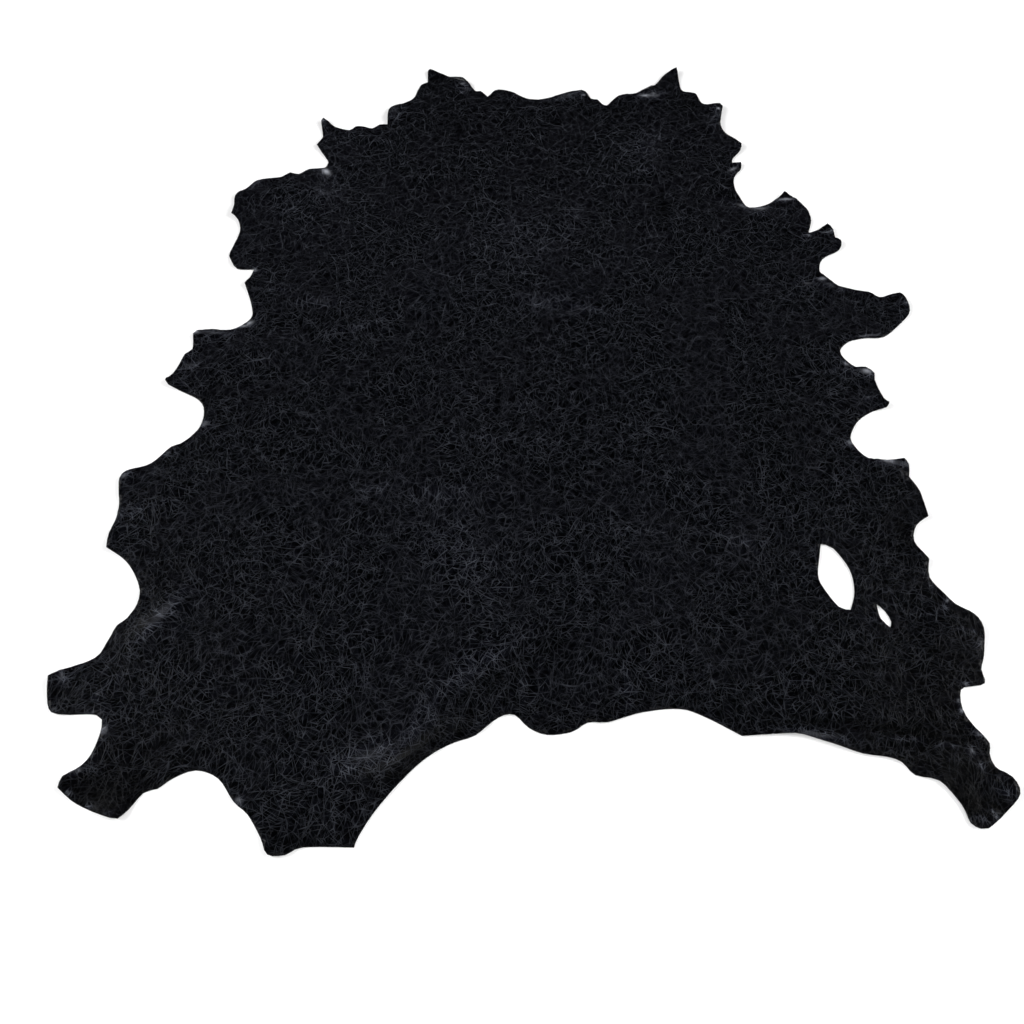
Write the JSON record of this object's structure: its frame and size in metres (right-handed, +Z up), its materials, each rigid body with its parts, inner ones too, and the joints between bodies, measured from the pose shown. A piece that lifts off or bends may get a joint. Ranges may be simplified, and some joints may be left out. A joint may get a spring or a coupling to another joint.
{
  "type": "full leather hide",
  "caption": "Whole upholstery hide lying flat: thin leather sheet with a ragged stretched edge, neck and shank lobes, slit holes and soft folds.",
  "frame": {"origin": "middle of the hide's box in X and Y, on the plane that it lies on", "axes": "+Y from rump to neck along the backbone, +X towards the right side seen from above with the neck up, +Z up out of the grain face"},
  "size_m": [2.3206, 2.8776, 0.0168],
  "materials": {
    "leather": "near-black crackle grain, semi-matte"
  },
  "bodies": {
    "root": {"hide": "leather"}
  },
  "joints": []
}
